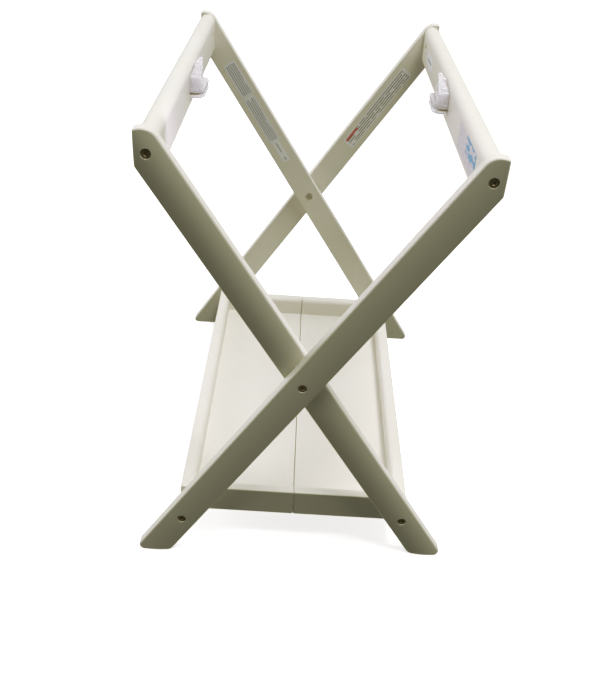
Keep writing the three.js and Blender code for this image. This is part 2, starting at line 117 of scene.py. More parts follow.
LEAN = math.atan2(rail_bolt.z - pivot.z, rail_bolt.x)  # of the legs, above the horizontal
LEG_WIDTH = 47.3 * MM
LEG_END = Vector((218.8, 668)) * MM  # centre of the round upper end, in x and z
LEG_SIDE_X = {"front": 229.5 * MM, "rear": 226 * MM}  # the round ends are cut upright here
BOLT_BORE = 3.35 * MM
BOLT_SHANK = 3 * MM
RAIL_HEAD, PIVOT_HEAD, SHELF_HEAD = 6.05 * MM, 5.75 * MM, 5.95 * MM  # radius of the bolts' heads
RAIL_HEAD_HEIGHT, HEAD_HEIGHT = 3.4 * MM, 3.2 * MM
HEAD_RECESS = 1 * MM  # how deep a head lies under the leg's face
HEAD_PLAY = 0.75 * MM  # the gap round a head
RAIL_SOCKET, PIVOT_SOCKET = 2.9 * MM, 2.7 * MM  # centre to corner of the hexagons
SLEEVE_BORE = 4.35 * MM
SLEEVE_FLANGE = 5.3 * MM
SLEEVE_PLAY = 1.5 * MM  # the gap round the flange
SLEEVE_SEAT = 4 * MM  # how deep that gap goes into the leg
SLEEVE_SOCKET = 2.6 * MM

# ---------- Materials ----------


class Nodes:
    """A short way to write a node tree: add nodes and link them by socket name."""

    def __init__(self, name):
        self.material = bpy.data.materials.new(name)
        self.material.use_nodes = True
        self.tree = self.material.node_tree
        self.shader = self.tree.nodes["Principled BSDF"]
        self.coordinates = self.add("ShaderNodeTexCoord").outputs["Object"]

    def add(self, kind, inputs=None, **settings):
        node = self.tree.nodes.new(kind)
        for key, value in settings.items():
            setattr(node, key, value)
        for key, value in (inputs or {}).items():
            self.put(value, node.inputs[key])
        return node

    def put(self, value, socket):
        if isinstance(value, bpy.types.NodeSocket):
            self.tree.links.new(value, socket)
        else:
            socket.default_value = value

    def shade(self, **inputs):
        for key, value in inputs.items():
            self.put(value, self.shader.inputs[key.replace("_", " ")])

    def noise(self, scale, detail=3, vector=None, roughness=0.5):
        vector = vector or self.coordinates
        inputs = {"Vector": vector, "Scale": scale, "Detail": detail, "Roughness": roughness}
        return self.add("ShaderNodeTexNoise", inputs).outputs["Fac"]

    def span(self, value, low, high, from_low=0.3, from_high=0.7):
        inputs = {"Value": value, "From Min": from_low, "From Max": from_high, "To Min": low, "To Max": high}
        return self.add("ShaderNodeMapRange", inputs).outputs["Result"]

    def calc(self, operation, first, second=0.0):
        return self.add("ShaderNodeMath", {0: first, 1: second}, operation=operation).outputs[0]

    def blend(self, factor, first, second):
        node = self.add("ShaderNodeMix", data_type="RGBA")
        self.put(factor, node.inputs[0])
        self.put((*first, 1) if isinstance(first, tuple) else first, node.inputs[6])
        self.put((*second, 1) if isinstance(second, tuple) else second, node.inputs[7])
        return node.outputs[2]

    def bump(self, height, distance, strength=1.0, normal=None):
        node = self.add("ShaderNodeBump", {"Height": height, "Distance": distance, "Strength": strength})
        if normal is not None:
            self.put(normal, node.inputs["Normal"])
        return node.outputs["Normal"]


PAINT = (0.845, 0.822, 0.788)
PAINT_AGED = (0.805, 0.778, 0.733)
PAINT_SPECK = (0.66, 0.625, 0.56)


def painted_wood(name, turn):
    """Semi-gloss warm white paint; the grain under it runs along Z turned by turn (x, y, z angles)."""
    nodes = Nodes(name)
    turned = nodes.add("ShaderNodeMapping", {"Vector": nodes.coordinates, "Rotation": turn})
    stretched = nodes.add("ShaderNodeMapping", {"Vector": turned.outputs[0], "Scale": (95, 95, 5)})
    grain = nodes.noise(1, 5, stretched.outputs[0], 0.6)
    clouds = nodes.noise(7, 3)
    peel = nodes.noise(520, 2)
    specks = nodes.noise(230, 1)
    tone = nodes.blend(nodes.span(clouds, 0, 0.8), PAINT, PAINT_AGED)
    tone = nodes.blend(nodes.span(grain, 0, 0.16), tone, PAINT_AGED)
    tone = nodes.blend(nodes.span(specks, 0, 0.5, 0.73, 0.79), tone, PAINT_SPECK)
    nodes.shade(Base_Color=tone, Roughness=nodes.span(clouds, 0.33, 0.43))
    relief = nodes.bump(grain, 0.00012, 0.35)
    nodes.shade(Normal=nodes.bump(peel, 0.00004, 0.35, relief))
    nodes.shade(Specular_IOR_Level=0.45, Coat_Weight=0.12, Coat_Roughness=0.22)
    return nodes.material


def metal(name, light, dark, roughness, metallic):
    """Plated steel: fine brushed noise in its tone and roughness."""
    nodes = Nodes(name)
    fine = nodes.noise(900, 3)
    broad = nodes.noise(120, 2)
    nodes.shade(Base_Color=nodes.blend(nodes.span(broad, 0, 1), light, dark), Metallic=metallic)
    nodes.shade(Roughness=nodes.span(fine, roughness - 0.07, roughness + 0.1))
    nodes.shade(Normal=nodes.bump(fine, 0.00003, 0.4))
    return nodes.material


def clear_plastic():
    """Clear moulded plastic, milky inside, with a faint violet cast and slight flow marks; a faint painted
    glow stands in for light carried through it.
    """
    nodes = Nodes("clear_plastic_moulded")
    flow = nodes.noise(60, 3)
    nodes.shade(Base_Color=nodes.blend(nodes.span(flow, 0, 1), (0.84, 0.81, 0.87), (0.76, 0.73, 0.79)))
    nodes.shade(Roughness=nodes.span(flow, 0.08, 0.15), IOR=1.5, Transmission_Weight=0.2)
    nodes.shade(Subsurface_Weight=1.0, Subsurface_Scale=0.03, Subsurface_Radius=(1.0, 1.0, 1.0))
    # Painted light: a faint glow brightens the faces that the lamps leave in shade.
    nodes.shade(Emission_Color=(0.9, 0.87, 0.95, 1), Emission_Strength=0.09)
    nodes.shade(Normal=nodes.bump(flow, 0.0002, 0.3))
    return nodes.material


def nylon():
    nodes = Nodes("nylon_natural")
    fine = nodes.noise(700, 3)
    nodes.shade(Base_Color=nodes.blend(fine, (0.82, 0.81, 0.76), (0.76, 0.745, 0.69)))
    nodes.shade(Roughness=nodes.span(fine, 0.42, 0.55), Subsurface_Weight=0.05)
    nodes.shade(Normal=nodes.bump(fine, 0.00003, 0.4))
    return nodes.material


paint_right_leg = painted_wood("paint_right_leaning", (0, LEAN - QUARTER, 0))
paint_left_leg = painted_wood("paint_left_leaning", (0, QUARTER - LEAN, 0))
paint_long = painted_wood("paint_lengthwise", (QUARTER, 0, 0))
paint_cross = painted_wood("paint_crosswise", (0, QUARTER, 0))
bolt_metal = metal("bolt_bronze", (0.44, 0.35, 0.25), (0.25, 0.20, 0.14), 0.30, 0.55)
sleeve_metal = metal("sleeve_bronze", (0.66, 0.60, 0.50), (0.48, 0.42, 0.34), 0.36, 0.4)
zinc_metal = metal("zinc_plated", (0.56, 0.53, 0.47), (0.40, 0.375, 0.33), 0.33, 0.85)
plastic_clear = clear_plastic()
nylon_white = nylon()

# ---------- Mesh helpers ----------

SHARP = math.radians(32)
FLAT_FACE = 16384  # what the weighted normal modifier calls a strong face


def mesh_object(name, points, faces):
    mesh = bpy.data.meshes.new(name)
    mesh.from_pydata([tuple(point) for point in points], [], faces)
    mesh.validate()
    shape = bmesh.new()
    shape.from_mesh(mesh)
    bmesh.ops.remove_doubles(shape, verts=shape.verts, dist=1e-7)
    bmesh.ops.recalc_face_normals(shape, faces=shape.faces)
    shape.to_mesh(mesh)
    shape.free()
    return add_object(name, mesh)


def combine(body, others, operation):
    """Cuts the other solids from body, or joins them to it, and deletes them."""
    for other in others:
        step = body.modifiers.new("combine", "BOOLEAN")
        step.operation = operation
        step.solver = "MANIFOLD"
        step.object = other
    graph = bpy.context.evaluated_depsgraph_get()
    result = bpy.data.meshes.new_from_object(body.evaluated_get(graph))
    body.modifiers.clear()
    old = body.data
    body.data = result
    bpy.data.meshes.remove(old)
    for other in others:
        bpy.data.objects.remove(other)
    return body


def cut(body, others):
    return combine(body, others, "DIFFERENCE")


def finish_piece(piece, body, material, slot, *nodes):
    """Shades a piece smooth up to its sharp edges, gives it its material and its place in the frame."""
    shape = bmesh.new()
    shape.from_mesh(piece.data)
    for face in shape.faces:
        face.smooth = True
    for edge in shape.edges:
        edge.smooth = edge.is_manifold and edge.calc_face_angle(0) < SHARP
    shape.to_mesh(piece.data)
    shape.free()
    strength = piece.data.attributes.new("__mod_weightednormals_faceweight", "INT", "FACE")
    for polygon, weight in zip(piece.data.polygons, strength.data):
        weight.value = FLAT_FACE if max(map(abs, polygon.normal)) > 0.99999 else 0
    weighted = piece.modifiers.new("flat_faces_stay_flat", "WEIGHTED_NORMAL")
    weighted.keep_sharp = True
    weighted.use_face_influence = True
    weighted.weight = 100
    piece.data.materials.clear()
    piece.data.materials.append(material)
    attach(piece, body)
    if nodes:
        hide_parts(*nodes)


def turn_of(first, second):
    return first.x * second.y - first.y * second.x


def rounded(corners, step=math.radians(9)):
    """Points of a closed outline from corners (u, v, radius), anticlockwise, with arcs in steps."""
    points = []
    for i, (u, v, radius) in enumerate(corners):
        corner = Vector((u, v))
        back = (Vector(corners[i - 1][:2]) - corner).normalized()
        ahead = (Vector(corners[(i + 1) % len(corners)][:2]) - corner).normalized()
        if radius == 0:
            points.append(corner)
            continue
        half = math.acos(max(-1, min(1, back.dot(ahead)))) / 2
        centre = corner + (back + ahead).normalized() * radius / math.sin(half)
        start = corner + back * radius / math.tan(half) - centre
        sweep = math.pi - 2 * half
        if turn_of(back, ahead) > 0:
            sweep = -sweep
        count = max(2, math.ceil(abs(sweep) / step))
        for k in range(count + 1):
            points.append(centre + Matrix.Rotation(sweep * k / count, 2) @ start)
    area = sum(turn_of(points[i - 1], points[i]) for i in range(len(points)))
    return points if area > 0 else points[::-1]


def inset(points, distance):
    """An anticlockwise outline moved inwards."""
    moved = []
    for i, point in enumerate(points):
        before = (point - points[i - 1]).normalized()
        after = (points[(i + 1) % len(points)] - point).normalized()
        inward = Vector((-before.y - after.y, before.x + after.x))
        moved.append(point + inward * distance / (1 + before.dot(after)))
    return moved


BOARD_AXES = {
    "Y": lambda u, v, w: (u, w, v),
    "Z": lambda u, v, w: (u, v, w),
}
TURNED_AXES = {
    "X": lambda a, b, along: (along, a, b),
    "Y": lambda a, b, along: (b, along, a),
    "Z": lambda a, b, along: (a, b, along),
}


def board(name, outline, axis, low, high, edge=0.0, steps=5):
    """A solid with that outline, run along an axis from low to high, its end edges rounded."""
    layers = []
    if edge:
        for k in range(steps + 1):
            angle = QUARTER * k / steps
            layers.append((edge * (1 - math.sin(angle)), edge * (1 - math.cos(angle))))
    else:
        layers.append((0, 0))
    loops = [(inset(outline, sunk), low + deep) for sunk, deep in layers]
    loops += [(inset(outline, sunk), high - deep) for sunk, deep in reversed(layers)]
    place = BOARD_AXES[axis]
    points = [place(point.x, point.y, w) for loop, w in loops for point in loop]
    count = len(outline)
    faces = [list(range(count)), list(range(len(points) - count, len(points)))]
    for layer in range(len(loops) - 1):
        for i in range(count):
            a, b = layer * count + i, layer * count + (i + 1) % count
            faces.append([a, b, b + count, a + count])
    return mesh_object(name, points, faces)


def turned(name, profile, centre=(0, 0, 0), axis="Y", flip=1, segments=40):
    """A body turned about an axis through centre, from its profile [(radius, position along it)]."""
    ring_closed = profile[0] == profile[-1]
    if ring_closed:
        profile = profile[:-1]
    points, starts = [], []
    centre = Vector(centre)
    place = TURNED_AXES[axis]
    for radius, along in profile:
        starts.append(len(points))
        for k in range(segments if radius > 0 else 1):
            angle = 2 * math.pi * k / segments
            a, b = radius * math.cos(angle), radius * math.sin(angle)
            points.append(centre + Vector(place(a, b, along * flip)))
    faces = []
    count = len(profile)
    for i in range(count if ring_closed else count - 1):
        j = (i + 1) % count
        for k in range(segments):
            n = (k + 1) % segments
            corners = [
                starts[i] + (k if profile[i][0] > 0 else 0),
                starts[i] + (n if profile[i][0] > 0 else 0),
                starts[j] + (n if profile[j][0] > 0 else 0),
                starts[j] + (k if profile[j][0] > 0 else 0),
            ]
            unique = list(dict.fromkeys(corners))
            if len(unique) > 2:
                faces.append(unique)
    return mesh_object(name, points, faces)


def rod(radius, low, high, centre, axis="Y", segments=40):
    """A plain round cutter."""
    profile = [(0, low), (radius, low), (radius, high), (0, high)]
    return turned("cutter", profile, centre, axis, 1, segments)


def block(name, low, high, edge=0.0, steps=3):
    """A box with all its edges rounded."""
    low, high = Vector(low), Vector(high)
    corners = [(low.x, low.y, edge), (high.x, low.y, edge), (high.x, high.y, edge), (low.x, high.y, edge)]
    return board(name, rounded(corners, math.radians(30)), "Z", low.z, high.z, edge, steps)


def sorted_pair(low, high):
    """Two opposite corners as the lowest and the highest one."""
    return Vector(map(min, low, high)), Vector(map(max, low, high))


# ---------- Legs ----------


def leg_line_x(offset, z):
    """Along X, a leg's line at height z; offset is to the upper side of its centre line."""
    return (z - pivot.z) / math.tan(LEAN) - offset / math.sin(LEAN)


def leg_outline(mirror, side_x):
    """A leg from its slanted foot to its round upper end, which is cut upright at side_x."""
    half = LEG_WIDTH / 2
    side_z = pivot.z + (side_x - half / math.sin(LEAN)) * math.tan(LEAN)
    corners = [(leg_line_x(half, 0), 0, 7.5 * MM)]
    first = LEAN + QUARTER
    last = math.acos((side_x - LEG_END.x) / half)
    steps = 24
    for k in range(steps + 1):
        angle = first + (last - first) * k / steps
        corners.append((LEG_END.x + half * math.cos(angle), LEG_END.y + half * math.sin(angle), 0))
    corners.append((side_x, side_z, 5 * MM))
    corners.append((leg_line_x(-half, 0), 0, 11 * MM))
    if mirror:
        corners = [(-u, v, radius) for u, v, radius in corners]
    return rounded(corners)


def head_hole(end_side, face, x, z, head):
    """A through hole with a recess for a bolt head, its mouth slightly broken, in a leg's outer face."""
    mouth = head + HEAD_PLAY
    deep = HEAD_RECESS + RAIL_HEAD_HEIGHT + 0.3 * MM
    through = 30 * MM
    profile = [
        (0, -1 * MM),
        (mouth + 1.35 * MM, -1 * MM),
        (mouth + 0.35 * MM, 0),
        (mouth + 0.1 * MM, 0.18 * MM),
        (mouth, 0.5 * MM),
        (mouth, deep),
        (BOLT_BORE, deep),
        (BOLT_BORE, through),
        (0, through),
    ]
    return turned("cutter", profile, (x, end_side * face, z), "Y", -end_side, 48)


OUTER_CROWN = 2.2 * MM
INNER_CROWN = 3.3 * MM


def crown_outer_face(leg, side, mirror, crown):
    """Bows a leg's outer face: full thickness on its centre line, thinner towards its long edges."""
    half = LEG_WIDTH / 2
    across = Vector((-math.sin(LEAN) * mirror, 0, math.cos(LEAN)))
    foot = Vector((0, 0, pivot.z))
    shape = bmesh.new()
    shape.from_mesh(leg.data)
    strips = 14
    for k in range(1, strips):
        place = foot + across * half * (2 * k / strips - 1)
        everything = shape.verts[:] + shape.edges[:] + shape.faces[:]
        bmesh.ops.bisect_plane(shape, geom=everything, dist=1e-6, plane_co=place, plane_no=across)
    outer = max(side * vert.co.y for vert in shape.verts)
    for vert in shape.verts:
        if side * vert.co.y > outer - 6 * MM:
            off_centre = (vert.co - foot).dot(across) / half
            vert.co.y -= side * crown * off_centre ** 2
    shape.to_mesh(leg.data)
    shape.free()


def make_legs():
    for end, side in ENDS.items():
        low, high = sorted((side * outer_leg_in, side * outer_leg_out))
        name = f"outer_leg_{end}"
        leg = board(name + "_board", leg_outline(False, LEG_SIDE_X[end]), "Y", low, high, 2.6 * MM)
        cut(leg, [
            head_hole(side, outer_leg_out, rail_bolt.x, rail_bolt.z, RAIL_HEAD),
            head_hole(side, outer_leg_out, 0, pivot.z, PIVOT_HEAD),
            head_hole(side, outer_leg_out, shelf_pivot.x, shelf_pivot.z, SHELF_HEAD),
        ])
        crown_outer_face(leg, side, 1, OUTER_CROWN)
        finish_piece(leg, "outer_frame", paint_right_leg, "painted_wood", name)

        low, high = sorted((side * inner_leg_in, side * inner_leg_out))
        name = f"inner_leg_{end}"
        leg = board(name + "_board", leg_outline(True, LEG_SIDE_X[end]), "Y", low, high, 2.6 * MM)
        reach = sorted((side * (inner_leg_in - 2 * MM), side * (inner_leg_out + 2 * MM)))
        flange_seat = sorted((side * (inner_leg_in - 2 * MM), side * (inner_leg_in + SLEEVE_SEAT)))
        cut(leg, [
            head_hole(side, inner_leg_out, -rail_bolt.x, rail_bolt.z, RAIL_HEAD),
            rod(SLEEVE_BORE, *reach, (0, 0, pivot.z)),
            rod(SLEEVE_FLANGE + SLEEVE_PLAY, *flange_seat, (0, 0, pivot.z)),
            head_hole(side, inner_leg_out, -shelf_pivot.x, shelf_pivot.z, SHELF_HEAD),
        ])
        crown_outer_face(leg, side, -1, INNER_CROWN)
        finish_piece(leg, "inner_frame", paint_left_leg, "painted_wood", name)


# ---------- Top rails ----------

RAILS = {
    "right": ("outer_frame", outer_leg_in),
    "left": ("inner_frame", inner_leg_in),
}
BARREL_INSET = 40 * MM  # from the rail's end to its nuts
BARREL_RADIUS = 4.9 * MM
BARREL_HOLE = BARREL_RADIUS + 0.3 * MM
BARREL_DEPTH = 21.6 * MM
PAINT_SKIN = 0.35 * MM
SCREW_BORE = 1.9 * MM


def make_rails():
    """Round-topped boards. The rear nuts' holes are open; the front ones are filled and painted over."""
    for name, (body, leg_in) in RAILS.items():
        side = SIDES[name]
        node = f"{name}_top_rail"
        round_top = (rail_high.x - rail_low.x) / 2 - 0.02 * MM
        corners = [
            (rail_low.x, rail_low.z, 3 * MM),
            (rail_high.x, rail_low.z, 16 * MM),
            (rail_high.x, rail_high.z, round_top),
            (rail_low.x, rail_high.z, round_top),
        ]
        outline = rounded([(side * u, v, radius) for u, v, radius in corners], math.radians(6))
        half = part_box(node)[1].y
        rail = board(node + "_board", outline, "Y", -half, half, 0.4 * MM, 2)
        cutters = []
        for end in ENDS.values():
            nut = Vector((0, end * (leg_in - BARREL_INSET), rail_bolt.z))
            face = side * rail_low.x
            profile = [(0, PAINT_SKIN), (BARREL_HOLE, PAINT_SKIN)]
            if end > 0:
                profile = [(0, -1 * MM), (BARREL_HOLE + 1.3 * MM, -1 * MM), (BARREL_HOLE, 0.3 * MM)]
            profile += [(BARREL_HOLE, BARREL_DEPTH), (0, BARREL_DEPTH)]
            cutters.append(turned("cutter", profile, (face, nut.y, nut.z), "X", side))
            run = sorted((end * (half + 1 * MM), nut.y - end * 9 * MM))
            cutters.append(rod(BOLT_BORE, *run, (side * rail_bolt.x, 0, rail_bolt.z)))
            screw = middle(f"{name}_mount_screw_front")
            run = sorted((face - side * 1 * MM, face + side * 15 * MM))
            cutters.append(rod(SCREW_BORE, *run, (0, end * abs(screw.y), screw.z), "X"))
        finish_piece(cut(rail, cutters), body, paint_long, "painted_wood", node)


# ---------- Shelf tray ----------

INNER_TOP = 8 * MM
OUTER_TOP = 1.8 * MM
BOTTOM_EDGE = 2.5 * MM
END_EDGE = 1.6 * MM  # round the walls' ends at the seam
INSERT_BORE = 5.2 * MM
INSERT_DEPTH = 21.5 * MM
TUCK = 0.6 * MM  # how far the floor panel enters the walls
TONGUE_START, TONGUE_REACH = 0.06 * MM, 6 * MM  # from the middle of the seam
TONGUE_LIFT = 1.5 * MM  # above the tray's underside
# In the end walls, each in millimetres: nearest and furthest from the outer face, and below the top.
WALL_TONGUES = ((7, 20.3, 35), (7, 16, 7), (2.5, 12, 3))


def wall_section():
    """Section of a tray wall: distance in from its outer face, and height."""
    return rounded([
        (0, tray_low.z, BOTTOM_EDGE),
        (tray_wall, tray_low.z, 0.6 * MM),
        (tray_wall, tray_high.z, INNER_TOP),
        (0, tray_high.z, OUTER_TOP),
    ])


def make_tray_half(name, side):
    """The three walls of a half in one painted rim with mitred corners, and its floor panel."""
    section = wall_section()
    half_width, half_length = tray_high.x, tray_high.y
    stations = []
    for k in range(5):
        angle = QUARTER * k / 4
        sunk, deep = END_EDGE * (1 - math.sin(angle)), END_EDGE * (1 - math.cos(angle))
        stations.append((sunk, seam_half + deep, -1))
    corner_stations = [(0, half_width, -1), (0, half_width, 1)]
    stations = stations + corner_stations + [(sunk, x, 1) for sunk, x, _ in reversed(stations)]
    points = []
    for sunk, x, end in stations:
        at_corner = x == half_width
        for point in inset(section, sunk):
            inward, z = point.x, point.y
            place_x = x - inward if at_corner else x
            points.append((side * place_x, end * (half_length - inward), z))
    count = len(section)
    faces = [list(range(count)), list(range(len(points) - count, len(points)))]
    for layer in range(len(stations) - 1):
        for i in range(count):
            a, b = layer * count + i, layer * count + (i + 1) % count
            faces.append([a, b, b + count, a + count])
    rim = mesh_object(f"{name}_shelf_rim", points, faces)
    cutters = []
    for end in ENDS.values():
        run = sorted((end * (half_length + 1 * MM), end * (half_length - INSERT_DEPTH)))
        cutters.append(rod(INSERT_BORE, *run, (side * abs(shelf_pivot.x), 0, shelf_pivot.z)))
    body = f"shelf_{name}"
    xs = sorted((side * TONGUE_START, side * TONGUE_REACH))
    tongue_low = tray_low.z + TONGUE_LIFT
    tongues = []
    for end in ENDS.values():
        for outer, inner, drop in WALL_TONGUES:
            ys = sorted((end * (half_length - outer * MM), end * (half_length - inner * MM)))
            top = tray_high.z - drop * MM
            tongues.append(block("tongue", (xs[0], ys[0], tongue_low), (xs[1], ys[1], top), 0.1 * MM))
    combine(rim, tongues, "UNION")
    walls = [f"{name}_shelf_{part}_wall" for part in ("side", "front", "rear")]
    finish_piece(cut(rim, cutters), body, paint_long, "painted_wood", *walls)

    low_x, high_x = seam_half, half_width - tray_wall + TUCK
    reach = half_length - tray_wall + TUCK
    low = (side * low_x if side > 0 else -high_x, -reach, tray_low.z)
    high = (high_x if side > 0 else -low_x, reach, tray_floor_top)
    floor = block(f"{name}_shelf_panel", low, high, 0.7 * MM)
    tongue_end = half_length - tray_wall + 0.1 * MM
    tongue_top = tray_low.z + 5 * MM
    tongue = block("tongue", (xs[0], -tongue_end, tongue_low), (xs[1], tongue_end, tongue_top), 0.1 * MM)
    combine(floor, [tongue], "UNION")
    finish_piece(floor, body, paint_cross, "painted_wood", f"{name}_shelf_floor")


# ---------- Bolts, nuts, washers, spacers ----------


def make_bolt(node, body, end_side, head_radius, socket):
    """A hex-socket bolt whose head faces out of the stand's end."""
    low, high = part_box(node)
    centre = (low + high) / 2
    length = high.y - low.y
    head = RAIL_HEAD_HEIGHT if head_radius == RAIL_HEAD else HEAD_HEIGHT
    soft = 0.45 * MM
    profile = [
        (0, 0),
        (head_radius - 1.5 * MM, 0),
        (head_radius - 2 * soft, 0.06 * MM),
        (head_radius - 0.6 * soft, 0.3 * soft),
        (head_radius, soft),
        (head_radius, head - 0.2 * MM),
        (head_radius - 0.2 * MM, head),
        (BOLT_SHANK, head),
        (BOLT_SHANK, length - 0.6 * MM),
        (BOLT_SHANK - 0.6 * MM, length),
        (0, length),
    ]
    face = end_side * max(abs(low.y), abs(high.y))
    bolt = turned(node + "_body", profile, (centre.x, face, centre.z), "Y", -end_side, 48)
    run = sorted((face + end_side * 0.5 * MM, face - end_side * 2.3 * MM))
    hexagon = rod(socket, *run, (centre.x, 0, centre.z), "Y", 6)
    broken = 0.35 * MM
    profile = [(0, -0.2 * MM), (socket + broken, -0.2 * MM), (socket - 0.1 * MM, broken), (0, broken)]
    mouth = turned("cutter", profile, (centre.x, face, centre.z), "Y", -end_side, 32)
    finish_piece(cut(bolt, [hexagon, mouth]), body, bolt_metal, "dark_bolt", node)


def make_ring(node, body, material, slot, soft=0.3 * MM):
    """A washer, spacer or insert along Y, as long and wide as its CAD node."""
    low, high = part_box(node)
    centre, half = (low + high) / 2, (high.y - low.y) / 2
    radius = (high.z - low.z) / 2
    profile = [
        (BOLT_BORE, -half + soft / 2),
        (BOLT_BORE + soft / 2, -half),
        (radius - soft, -half),
        (radius - 0.3 * soft, -half + 0.3 * soft),
        (radius, -half + soft),
        (radius, half - soft),
        (radius - 0.3 * soft, half - 0.3 * soft),
        (radius - soft, half),
        (BOLT_BORE + soft / 2, half),
        (BOLT_BORE, half - soft / 2),
        (BOLT_BORE, -half + soft / 2),
    ]
    ring = turned(node + "_body", profile, centre, "Y", 1, 48)
    finish_piece(ring, body, material, slot, node)


def make_barrel_nut(node, body, side):
    """A cross dowel nut: a short bar with a threaded cross hole and a screwdriver slot."""
    low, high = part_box(node)
    centre, half = (low + high) / 2, (high.x - low.x) / 2
    soft = 0.6 * MM
    profile = [
        (0, -half),
        (BARREL_RADIUS - soft, -half),
        (BARREL_RADIUS, soft - half),
        (BARREL_RADIUS, half - soft),
        (BARREL_RADIUS - soft, half),
        (0, half),
    ]
    bar = turned(node + "_body", profile, centre, "X")
    face = centre.x - side * half
    slot = block("cutter", (face - 1 * MM, centre.y - 0.6 * MM, centre.z - 3.4 * MM),
                 (face + 1 * MM, centre.y + 0.6 * MM, centre.z + 3.4 * MM))
    hole = rod(BOLT_BORE, centre.y - 8 * MM, centre.y + 8 * MM, (side * rail_bolt.x, 0, centre.z))
    finish_piece(cut(bar, [slot, hole]), body, zinc_metal, "zinc_steel", node)


def make_sleeve_nut(node, end_side):
    """The pivot's sleeve nut: a flange at the inner leg's inner face and a blind bored sleeve."""
    low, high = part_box(node)
    centre, length = (low + high) / 2, high.y - low.y
    face = end_side * min(abs(low.y), abs(high.y))
    profile = [
        (0, 0),
        (SLEEVE_FLANGE - 1.7 * MM, 0),
        (SLEEVE_FLANGE - 1.1 * MM, 0.12 * MM),
        (SLEEVE_FLANGE - 0.12 * MM, 0.5 * MM),
        (SLEEVE_FLANGE, 0.7 * MM),
        (SLEEVE_FLANGE, 0.9 * MM),
        (4 * MM, 0.9 * MM),
        (4 * MM, length),
        (BOLT_BORE, length),
        (BOLT_BORE, 4.5 * MM),
        (0, 4.5 * MM),
    ]
    nut = turned(node + "_body", profile, (centre.x, face, centre.z), "Y", end_side, 48)
    run = sorted((face - end_side * 1 * MM, face + end_side * 2.8 * MM))
    hexagon = rod(SLEEVE_SOCKET, *run, (centre.x, 0, centre.z), "Y", 6)
    finish_piece(cut(nut, [hexagon]), "outer_frame", sleeve_metal, "zinc_steel", node)


def make_fasteners():
    for end, side in ENDS.items():
        for name, (body, _) in RAILS.items():
            make_bolt(f"{name}_rail_bolt_{end}", body, side, RAIL_HEAD, RAIL_SOCKET)
            make_barrel_nut(f"{name}_barrel_nut_{end}", body, SIDES[name])
        make_bolt(f"pivot_bolt_{end}", "outer_frame", side, PIVOT_HEAD, PIVOT_SOCKET)
        make_bolt(f"left_shelf_bolt_{end}", "outer_frame", side, SHELF_HEAD, PIVOT_SOCKET)
        make_bolt(f"right_shelf_bolt_{end}", "inner_frame", side, SHELF_HEAD, PIVOT_SOCKET)
        make_sleeve_nut(f"pivot_sleeve_nut_{end}", side)
        make_ring(f"pivot_washer_{end}", "outer_frame", nylon_white, "nylon", 0.15 * MM)
        make_ring(f"left_shelf_spacer_{end}", "outer_frame", nylon_white, "nylon", 0.9 * MM)
        make_ring(f"right_shelf_washer_{end}", "inner_frame", nylon_white, "nylon", 0.3 * MM)
        for name in SIDES:
            make_ring(f"{name}_shelf_insert_{end}", f"shelf_{name}", zinc_metal, "zinc_steel")


# ---------- Hinges under the shelf ----------

KNUCKLE = 2.7 * MM
LEAF = 1.9 * MM
LEAF_GAP = 0.4 * MM


def make_hinges():
    for end, end_side in ENDS.items():
        pin_node = f"{end}_hinge_pin"
        low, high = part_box(pin_node)
        centre, half = (low + high) / 2, (high.y - low.y) / 2
        radius = (high.z - low.z) / 2
        full = half - 0.4 * MM
        profile = [
            (0, -half),
            (radius * 0.7, -half),
            (radius, -full),
            (radius, full),
            (radius * 0.7, half),
            (0, half),
        ]
        pin = turned(pin_node + "_body", profile, centre, "Y", 1, 24)
        finish_piece(pin, "shelf_left", zinc_metal, "zinc_steel", pin_node)
        third = 2 * half / 3
        spans = {
            "left": [(-half, third - half - LEAF_GAP), (half - third + LEAF_GAP, half)],
            "right": [(third - half, 2 * third - half)],
        }
        for name, side in SIDES.items():
            hinge = f"{end}_hinge_{name}"
            node = f"{hinge}_leaf"
            leaf_low, leaf_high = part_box(node)
            top = leaf_high.z
            edge_x = max(abs(leaf_low.x), abs(leaf_high.x))
            xs = sorted((side * (KNUCKLE + LEAF_GAP), side * edge_x))
            low_end, high_end = centre.y - half, centre.y + half
            bottom = top - LEAF
            leaf = block(node + "_plate", (xs[0], low_end, bottom), (xs[1], high_end, top), 0.35 * MM)
            xs = sorted((0, side * (KNUCKLE + 1.5 * MM)))
            joined = []
            for start, stop in spans[name]:
                start, stop = centre.y + start, centre.y + stop
                joined.append(block("tab", (xs[0], start, bottom), (xs[1], stop, top), 0.1 * MM, 1))
                joined.append(rod(KNUCKLE, start, stop, (0, 0, centre.z), "Y", 32))
            combine(leaf, joined, "UNION")
            pin_hole = rod(radius + 0.3 * MM, low_end - MM, high_end + MM, (0, 0, centre.z), "Y", 24)
            cutters = [pin_hole]
            wide, narrow, through = 4.1 * MM, 1.65 * MM, 4 * MM
            for k in (1, 2):
                screw = middle(f"{hinge}_screw_{k}")
                profile = [(0, -MM), (wide, -MM), (narrow, 1.5 * MM), (narrow, through), (0, through)]
                cutters.append(turned("cutter", profile, (screw.x, screw.y, bottom), "Z", 1, 32))
            finish_piece(cut(leaf, cutters), f"shelf_{name}", zinc_metal, "zinc_steel", node)
            for k in (1, 2):
                make_hinge_screw(f"{hinge}_screw_{k}", f"shelf_{name}")


def cross_cutters(centre, axis, depth, reach, width):
    """Two crossed bars that sink a cross recess into a screw head; axis X or Z points into the head."""
    bars = []
    for long_one, long_two in ((reach, width), (width, reach)):
        half = {"X": (depth, long_one, long_two), "Z": (long_one, long_two, depth)}[axis]
        bars.append(block("cutter", Vector(centre) - Vector(half), Vector(centre) + Vector(half)))
    return bars


